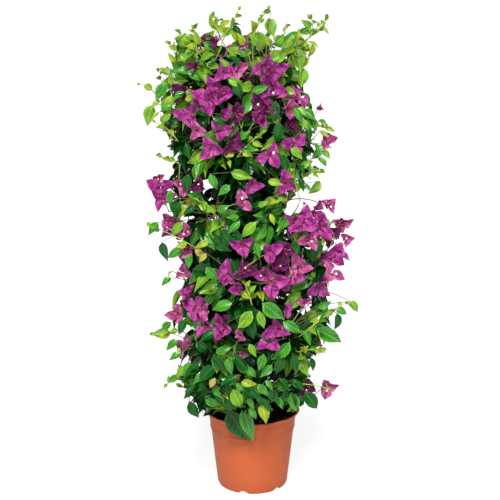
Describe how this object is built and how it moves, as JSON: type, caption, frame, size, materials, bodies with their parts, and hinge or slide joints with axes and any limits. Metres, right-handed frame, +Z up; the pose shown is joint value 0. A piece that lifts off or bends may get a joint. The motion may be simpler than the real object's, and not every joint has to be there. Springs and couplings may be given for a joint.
{
  "type": "potted bougainvillea bush",
  "caption": "Potted bougainvillea trained as a tall leafy column on several canes, with papery purple bracts among glossy leaves, over a plain round nursery pot.",
  "frame": {"origin": "centre of the pot's flat underside", "axes": "+Z up along the pot's axis, -Y towards the front of the bush, +X to the right seen from the front"},
  "size_m": [0.4215, 0.3474, 0.9693],
  "materials": {
    "pot_plastic": "satin",
    "soil": "matte",
    "bark": "matte",
    "leaves": "satin",
    "blossom": "matte"
  },
  "bodies": {
    "root": {"pot": "pot_plastic", "potting_soil": "soil", "main_stem": "bark", "cane_1": "bark", "cane_2": "bark", "cane_3": "bark", "cane_4": "bark", "cane_5": "bark", "foliage_skirt_1": "leaves", "foliage_skirt_2": "leaves", "foliage_skirt_3": "leaves", "foliage_skirt_4": "leaves", "foliage_skirt_5": "leaves", "foliage_low_1": "blossom", "foliage_low_2": "leaves", "foliage_low_3": "leaves", "foliage_low_4": "leaves", "foliage_low_5": "blossom", "foliage_middle_1": "blossom", "foliage_middle_2": "blossom", "foliage_middle_3": "leaves", "foliage_middle_4": "leaves", "foliage_middle_5": "leaves", "foliage_waist_1": "leaves", "foliage_waist_2": "blossom", "foliage_waist_3": "leaves", "foliage_waist_4": "leaves", "foliage_waist_5": "blossom", "foliage_shoulder_1": "blossom", "foliage_shoulder_2": "leaves", "foliage_shoulder_3": "leaves", "foliage_shoulder_4": "leaves", "foliage_shoulder_5": "blossom", "foliage_crown_1": "blossom", "foliage_crown_2": "blossom", "foliage_crown_3": "leaves", "foliage_crown_4": "leaves", "foliage_crown_5": "leaves"}
  },
  "joints": []
}
